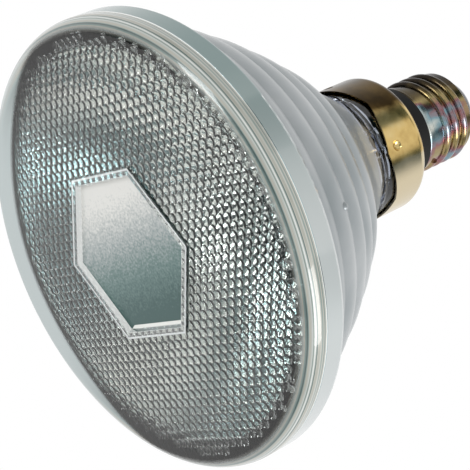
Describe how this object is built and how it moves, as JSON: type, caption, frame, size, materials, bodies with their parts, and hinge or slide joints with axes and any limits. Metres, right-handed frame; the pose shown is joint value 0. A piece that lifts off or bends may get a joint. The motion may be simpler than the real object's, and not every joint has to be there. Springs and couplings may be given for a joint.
{
  "type": "par spotlight bulb",
  "caption": "Pressed-glass reflector spot lamp: stippled lens with a hexagonal medallion, stepped silvered bowl, clear neck, brass skirt and a tarnished screw cap.",
  "frame": {"origin": "centre of the flat face of the lens's hexagonal frame, on which the lamp can stand", "axes": "+Z along the lamp's axis from the lens to the cap's contact, +X through one corner of the hexagon"},
  "size_m": [0.1224, 0.1224, 0.127],
  "materials": {
    "lens_glass": "clear pressed glass, stippled inside",
    "silvered_glass": "clear glass, aluminised inside",
    "tube_glass": "clear, flame-drawn",
    "ferrule_metal": "dull, heat-stained",
    "post_metal": "bright nickel wire",
    "tungsten": "dark drawn wire",
    "bead_glass": "clear, fire-polished",
    "lead_copper": "bare drawn wire",
    "solder": "dull, uneven",
    "skirt_brass": "bright drawn sheet, brown in places",
    "black_insulator": "dull black",
    "plated_shell": "nickel plate with brown, blue and violet tarnish",
    "black_glass": "glossy black glass",
    "contact_brass": "dull stamped sheet"
  },
  "bodies": {
    "root": {"front_lens": "lens_glass", "reflector": "silvered_glass", "exhaust_tube": "tube_glass", "ferrule_left": "ferrule_metal", "ferrule_right": "ferrule_metal", "post_left": "post_metal", "post_right": "post_metal", "filament": "tungsten", "bridge_bead": "bead_glass", "support_wire": "tungsten", "centre_lead": "lead_copper", "side_lead": "lead_copper", "side_solder": "solder", "skirt": "skirt_brass", "skirt_insulator": "black_insulator", "screw_shell": "plated_shell", "contact_insulator": "black_glass", "centre_contact": "contact_brass", "centre_solder": "solder"}
  },
  "joints": []
}
